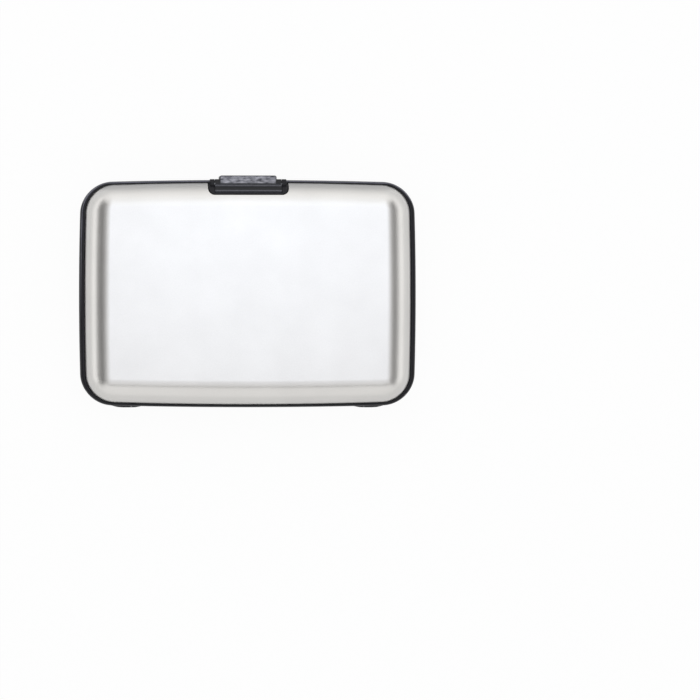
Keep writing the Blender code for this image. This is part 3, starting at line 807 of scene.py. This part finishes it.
def frame_rings():
    """The rim's section, station by station: under the band, round it, into the groove, over the wall."""
    lip = grown(rim_outline, gap)
    stations = []
    for step in range(ease_steps + 1):
        angle = step / ease_steps * math.pi / 2
        inset = edge_ease * (1 - math.sin(angle))
        stations.append((grown(case_outline, -inset), half_gap + edge_ease * (1 - math.cos(angle))))
    for step in range(band_steps + 1):
        angle = step / band_steps * math.pi / 2
        inward = band_round_share * (1 - math.cos(angle))
        height = band_height - band_crown * (1 - math.sin(angle))
        stations.append((blended(case_outline, lip, inward), height))
    stations += [(lip, band_height), (lip, groove_floor)]
    inside = grown(rim_outline, -(shell_wall + gap))
    stations += [(inside, groove_floor), (grown(inside, -frame_wall_lean), frame_wall_height)]
    inner_face = grown(rim_outline, -wall_outset)
    stations += [(inner_face, frame_wall_height), (inner_face, half_gap)]
    return [ring(outline, height) for outline, height in stations]


def make_rim(name, half):
    """A moulded rim with its band, its groove for the shell and its inner wall."""
    bm = bmesh.new()
    add_loft(bm, frame_rings(), closed=True)
    bmesh.ops.recalc_face_normals(bm, faces=bm.faces)
    bm.transform(half)
    return mesh_object(name, bm)


def make_panel(name, half, top, inner_y, sink, corner):
    """The plastic that fills a notch in a skirt: flush with it outside, rooted in the rim."""
    root = groove_floor - edge_ease
    root_y = rim_outline[1] + gap + edge_ease
    section = [(root_y, root), (root_y, band_height - edge_ease)]
    section += skirt_strip(top, lean_at_height(top, band_height), lean_at_depth(inner_y), 0, sink)
    section.append((wall_inner_y, root))
    wide = housing_half_width + overrun
    panel = prism(name, section, "X", -wide, wide)
    panel.data.transform(half)
    plan = tab_outline(housing_half_width, inner_y, half_depth, corner)
    combine(panel, "INTERSECT", prism(f"{name}_plan", plan, "Z", -2 * case_half_height, 2 * case_half_height))
    return panel


def add_hinge(lid_rim, base_rim):
    """Each rim keeps its own knuckles and is cut clear of the other's."""
    relief = hinge_inset + overrun
    rise = relief * math.tan(relief_angle)
    wedge = [(hinge_y, 0), (hinge_y - relief, rise), (hinge_y - relief, -rise)]
    bore_half = knuckle_length + half_gap
    room_lap = half_gap / 4
    for rim in (lid_rim, base_rim):
        combine(rim, "DIFFERENCE", prism("hinge_relief", wedge, "X", -half_length, half_length))
    for side in (-1, 1):
        for rim, own, other, way in (
            (lid_rim, outer_knuckle, inner_knuckle, 1), (base_rim, inner_knuckle, outer_knuckle, -1)
        ):
            joint = side * hinge_reach
            away = side * way
            room = [(joint - away * (run - room_lap), knuckle_radius + gap - loss) for run, loss in other]
            room.append((room[-1][0] - away * gap, room[-1][1]))
            shape = [(joint + away * (knuckle_half_gap + run), knuckle_radius - loss) for run, loss in own]
            bore = rod("bore", joint - bore_half, joint + bore_half, hinge_y, 0, hinge_pin_radius + gap)
            combine(rim, "DIFFERENCE", turned("room", room, hinge_y, 0))
            combine(rim, "UNION", turned("knuckle", shape, hinge_y, 0))
            combine(rim, "DIFFERENCE", bore)


lid_rim = make_rim("lid_rim", upright)
base_rim = make_rim("base_rim", turned_over)
add_hinge(lid_rim, base_rim)

# The tray in the lid's notch, with two bosses that carry the latch pin
tray = make_panel("latch_tray", upright, lid_top, housing_y, housing_sink, housing_corner)
combine(lid_rim, "UNION", tray)
bosses = rod("latch_bosses", -boss_end, boss_end, latch_y, latch_axis_rise, barrel_radius, boss_round)
combine(lid_rim, "UNION", bosses)
pocket_section = skirt_strip(
    lid_top, lean_at_depth(housing_y + housing_wall), lean_at_height(lid_top, latch_axis_rise),
    barrel_radius + overrun, pocket_sink
)
combine(
    lid_rim, "DIFFERENCE", prism("lever_pocket", pocket_section, "X", -pocket_half_width, pocket_half_width)
)
combine(
    lid_rim, "DIFFERENCE",
    rod("barrel_room", -pocket_half_width, pocket_half_width, latch_y, latch_axis_rise, barrel_radius + gap)
)
latch_bore_half = housing_half_width + overrun
combine(
    lid_rim, "DIFFERENCE",
    rod("latch_bore", -latch_bore_half, latch_bore_half, latch_y, latch_axis_rise, latch_pin_radius + gap)
)
place(lid_rim, black_abs, "black_plastic", "lid", "lid_frame")

# The catch plate in the base's notch, and the recess under its ledge that takes the lever's nose
catch = make_panel("catch_plate", turned_over, base_crease, catch_y, catch_sink, catch_corner)
combine(base_rim, "UNION", catch)
recess_half = button_half_width + gap
combine(
    base_rim, "DIFFERENCE",
    box(
        "nose_recess", (-recess_half, recess_half), (half_depth - catch_recess, half_depth + overrun),
        (button_foot - overrun, ledge_foot)
    )
)
place(base_rim, black_abs, "black_plastic", "base", "base_frame")


# The latch lever


def button_section():
    """Section of the thumb piece: a block beside the barrel, and a plate down over both bands with a nose."""
    under_block = band_height + gap + edge_ease
    nose_tip = half_depth + nose_clearance
    return [
        (latch_y - button_back, button_top), (button_y, button_top), (button_y, button_foot),
        (button_inner_y, button_foot),
        (button_inner_y, nose_top - nose_height), (nose_tip, nose_top - nose_face_share * nose_height),
        (nose_tip, nose_top), (button_inner_y, nose_top), (button_inner_y, under_block),
        (latch_y, under_block), (latch_y, latch_axis_rise), (latch_y - button_back, latch_axis_rise),
    ]


def make_lever():
    """The arm that follows the skirt, the barrel round the latch pin, and the thumb piece with its nose."""
    section = skirt_strip(
        lid_top, lean_at_depth(half_depth - arm_depth), lean_at_height(lid_top, latch_axis_rise),
        arm_lift, arm_thickness - arm_lift
    )
    lever = prism("latch_thumb_lever", section, "X", -lever_half_width, lever_half_width)
    barrel = rod("barrel", -lever_half_width, lever_half_width, latch_y, latch_axis_rise, barrel_radius)
    button = prism("button", button_section(), "X", -button_half_width, button_half_width)
    plan = [(x, -y) for x, y in tab_outline(button_half_width, -button_y, overrun - latch_y, button_corner)]
    combine(button, "INTERSECT", prism("button_plan", plan, "Z", -2 * case_half_height, 2 * case_half_height))
    combine(lever, "UNION", barrel)
    combine(lever, "UNION", button)
    round_edges(lever, lever_round)
    reach = housing_half_width
    combine(
        lever, "DIFFERENCE",
        rod("lever_bore", -reach, reach, latch_y, latch_axis_rise, latch_pin_radius + gap)
    )
    return lever


place(make_lever(), thumb_abs, "grained_plastic", "latch", "latch_lever")


# The pleats at the pockets' ends, folded from leaf to leaf and built as they lie with the lid shut


def make_pleat(side, sign, index):
    """One folded strip between two leaves, with a rounded fold."""
    low = lowest_leaf + index * leaf_pitch
    high = low + leaf_pitch
    inner = leaf_half_length + gusset_gap
    foot = low + leaf_thickness / 2 + gusset_thickness / 2
    head = high - leaf_thickness / 2 - gusset_thickness / 2
    fold = []
    for step in range(fold_steps + 1):
        share = step / fold_steps
        out = math.sin(math.pi * share) ** gusset_round_power
        fold.append((sign * (inner + gusset_reach * out), foot + (head - foot) * share))
    bm = bmesh.new()
    grid = []
    for row in range(fold_rows + 1):
        y = leaf_back_y + leaf_corner + (leaf_front_y - leaf_back_y - 2 * leaf_corner) * row / fold_rows
        grid.append([bm.verts.new((x, y, z)) for x, z in fold])
    for lower, upper in zip(grid, grid[1:]):
        for column in range(fold_steps):
            bm.faces.new((lower[column], lower[column + 1], upper[column + 1], upper[column]))
    pleat = mesh_object(f"pleat_{side}_{index + 1}", bm)
    wall = pleat.modifiers.new("wall", "SOLIDIFY")
    wall.thickness = gusset_thickness
    wall.offset = 0
    settle(pleat)
    place(pleat, leaf_sheet, "leaf_plastic", None, f"gusset_{side}_{index + 1}")
    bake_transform(pleat)


for side, sign in (("left", -1), ("right", 1)):
    for index in range(pocket_count):
        make_pleat(side, sign, index)


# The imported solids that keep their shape

kept_finishes = {"end_leaf_base": leaf_sheet, "end_leaf_lid": leaf_sheet}
kept_finishes.update({f"card_leaf_{index}": leaf_sheet for index in range(1, pocket_count)})
kept_finishes.update({"foam_tape_base": foam, "foam_tape_lid": foam})
for name in ("hinge_pin_left", "hinge_pin_right", "latch_pin", "latch_spring"):
    kept_finishes[name] = steel
for name, finish in kept_finishes.items():
    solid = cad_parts[name]
    solid.data.materials.clear()
    solid.data.materials.append(finish)


# Table, lights and camera


def add_plane(name, centre, across, up, finish):
    """A flat stage panel round a centre, reaching half of across and half of up either way."""
    centre, across, up = Vector(centre), Vector(across) / 2, Vector(up) / 2
    bm = bmesh.new()
    corners = [centre - across - up, centre + across - up, centre + across + up, centre - across + up]
    bm.faces.new([bm.verts.new(corner) for corner in corners])
    panel = mesh_object(name, bm)
    panel.data.materials.append(finish)
    return panel


def seen_directly(tree):
    """1 for a ray from the camera, in a reflection or through glass, and 0 for light that falls on things."""
    path = add(tree, "ShaderNodeLightPath").outputs
    seen = add(
        tree, "ShaderNodeMath", {0: path["Is Camera Ray"], 1: path["Is Glossy Ray"]}, operation="MAXIMUM"
    ).outputs[0]
    return add(
        tree, "ShaderNodeMath", {0: seen, 1: path["Is Transmission Ray"]}, operation="MAXIMUM"
    ).outputs[0]


def white_paper():
    """Matt white background paper. What the camera and reflections see of it is mostly plain white, and the
    rest is lit, so that it keeps a soft shadow."""
    material, tree, point = new_finish("white_paper")
    fibres = add(tree, "ShaderNodeTexNoise", {"Vector": point, "Scale": per_mm(2), "Detail": 3.0})
    colour = add(
        tree, "ShaderNodeValToRGB", {"Fac": fibres.outputs["Fac"]}, stops=((0.3, "#F0F0EF"), (0.7, "#F6F6F5"))
    )
    lit = add(tree, "ShaderNodeBsdfDiffuse", {"Color": colour.outputs["Color"]})
    plain = add(tree, "ShaderNodeEmission", {"Color": linear("#FFFFFF"), "Strength": 1.0})
    # The camera sees it 94% plain white, and reflections 20%
    camera_ray = add(tree, "ShaderNodeLightPath").outputs["Is Camera Ray"]
    share = add(
        tree, "ShaderNodeMath", {0: camera_ray, 1: 0.74, 2: 0.2}, operation="MULTIPLY_ADD"
    ).outputs[0]
    share = add(
        tree, "ShaderNodeMath", {0: seen_directly(tree), 1: share}, operation="MULTIPLY"
    ).outputs[0]
    mixed = add(tree, "ShaderNodeMixShader", {"Fac": share, 1: lit.outputs[0], 2: plain.outputs[0]})
    close_finish(tree, mixed)
    return material


# The cards beside the case, in metres: how far off they stand, how far along it the grey ones reach towards
# the hinge and the latch, how long a stretch of them pales there, and the heights between which they change
card_distance = 0.6
card_ends = (-0.6, 0.75)
card_fade = 0.2
card_change = (0.76, 0.92)


def grey_card(name, low, high):
    """Matt card, held beside the case to draw the dark lines along its shoulders, from one grey to another
    on its way up. It pales towards its ends, so that the lines fade out at the case's corners."""
    material, tree, point = new_finish(name)
    spot = add(tree, "ShaderNodeSeparateXYZ", {"Vector": point}).outputs
    grey = add(tree, "ShaderNodeValToRGB", {"Fac": spot["Z"]}, stops=zip(card_change, (low, high)))
    hinge_end, latch_end = [
        add(
            tree, "ShaderNodeMapRange",
            {"Value": spot["Y"], "From Min": end - math.copysign(card_fade, end), "From Max": end}
        ).outputs[0] for end in card_ends
    ]
    pale = add(tree, "ShaderNodeMath", {0: hinge_end, 1: latch_end}, operation="MAXIMUM").outputs[0]
    colour = add(
        tree, "ShaderNodeMix",
        {"Factor": pale, 6: grey.outputs["Color"], 7: linear("#F4F4F4")}, data_type="RGBA"
    ).outputs[2]
    close_finish(tree, add(tree, "ShaderNodeBsdfPrincipled", {"Base Color": colour, "Roughness": 0.9}))
    return material


def plain_card(name, grey):
    """Matt card of one grey."""
    material, tree, _ = new_finish(name)
    close_finish(tree, add(tree, "ShaderNodeBsdfPrincipled", {"Base Color": linear(grey), "Roughness": 0.9}))
    return material


def lit_card(name, strength):
    """White card with a lamp behind it, this bright."""
    material, tree, _ = new_finish(name)
    close_finish(tree, add(tree, "ShaderNodeEmission", {"Color": linear("#FFFFFF"), "Strength": strength}))
    return material


def add_softbox(name, centre, size, radiance, colour):
    """A rectangular lamp that faces straight down and looks this bright in a mirror."""
    lamp = bpy.data.lights.new(name, "AREA")
    lamp.shape = "RECTANGLE"
    lamp.size, lamp.size_y = size
    lamp.energy = radiance * math.pi * size[0] * size[1]
    lamp.color = colour
    holder = bpy.data.objects.new(name, lamp)
    holder.location = centre
    holder.visible_camera = False
    bpy.context.scene.collection.objects.link(holder)


def hide_from_all_but_reflections(panel):
    """Leaves a panel to be seen only in what is glossy."""
    panel.visible_camera = False
    panel.visible_diffuse = False
    panel.visible_shadow = False


table_size = 8.0
add_plane("table", (0, 0, 0), (table_size, 0, 0), (0, table_size, 0), white_paper())
# Each card's name, its side of the case, the angles from straight up and the stretch along the case that it
# covers, in degrees and metres, and its finish
for name, side, angles, stretch, make_card, *look in (
    ("card_left", (-1, 0), (22, 69), card_ends, grey_card, "#888888", "#B0B0B0"),
    ("card_right", (1, 0), (27, 66), card_ends, grey_card, "#A2A2A2", "#ACACAC"),
    ("card_front", (0, -1), (34, 40), (-0.6, 0.6), plain_card, "#8C8C8C"),
    ("glow_left", (-1, 0), (69, 88), (-0.25, 0.75), lit_card, 1.4),
    ("glow_right", (1, 0), (66, 88), (-0.25, 0.75), lit_card, 1.3),
    ("glow_latch", (0, 1), (58, 80), (-0.4, 0.4), lit_card, 1.2),
):
    high, low = (card_distance / math.tan(math.radians(angle)) for angle in angles)
    start, end = stretch
    middle = Vector((card_distance * side[0], card_distance * side[1], (high + low) / 2))
    middle += Vector((abs(side[1]), abs(side[0]), 0)) * (start + end) / 2
    along = Vector((-side[1], side[0], 0)) * (end - start)
    card = add_plane(name, middle, along, (0, 0, high - low), make_card(name, *look))
    hide_from_all_but_reflections(card)

# A pale grey card lies on the table behind the case, seen only in reflections: painted shade standing for the
# table's shade beside the case
behind_width = 112 * mm
behind_depth = 60 * mm
behind_gap = 6 * mm
behind_middle = (0, half_depth + behind_gap + behind_depth / 2, gap)
card_behind = add_plane(
    "card_behind", behind_middle, (behind_width, 0, 0), (0, behind_depth, 0),
    plain_card("card_behind", "#D2D2D2")
)
hide_from_all_but_reflections(card_behind)

# Lamps over the case: middle, width and depth in metres, brightness, and colour
add_softbox("overhead", (0.018, 0.10, 0.32), (0.18, 0.26), 0.66, (0.92, 1.0, 1.13))
add_softbox("behind", (0.018, 0.40, 0.32), (0.22, 0.34), 0.38, (0.94, 1.0, 1.08))
add_softbox("blue_sky", (0.02, -0.06, 0.5), (0.4, 0.4), 0.06, (0.2, 0.4, 1.0))

# The room round the table looks plain white, but lights the case a little less
world = bpy.data.worlds.new("studio")
bpy.context.scene.world = world
world.use_nodes = True
room = world.node_tree
room.nodes.clear()
fill = add(room, "ShaderNodeBackground", {"Color": linear("#FFFFFF"), "Strength": 0.85})
plain = add(room, "ShaderNodeBackground", {"Color": linear("#FFFFFF"), "Strength": 1.0})
seen = seen_directly(room)
mixed = add(room, "ShaderNodeMixShader", {"Fac": seen, 1: fill.outputs[0], 2: plain.outputs[0]})
add(room, "ShaderNodeOutputWorld", {"Surface": mixed.outputs[0]})

# The case's middle stands left of and above the middle of the frame, and the camera leans a little
# from the left
frame_width = 228.7 * mm
camera_distance = 3.0
camera_lean = math.radians(3.3)
aim = Vector((33.53 * mm, seat.y - 18.41 * mm, case_half_height))
camera = bpy.data.objects.new("camera", bpy.data.cameras.new("camera"))
camera.data.sensor_width = 36
camera.data.lens = camera.data.sensor_width * camera_distance / frame_width
camera.data.clip_end = 20
camera.location = aim + camera_distance * Vector((-math.sin(camera_lean), 0, math.cos(camera_lean)))
camera.rotation_euler = (0, -camera_lean, 0)
bpy.context.scene.collection.objects.link(camera)
bpy.context.scene.camera = camera
bpy.context.scene.view_settings.view_transform = "Standard"
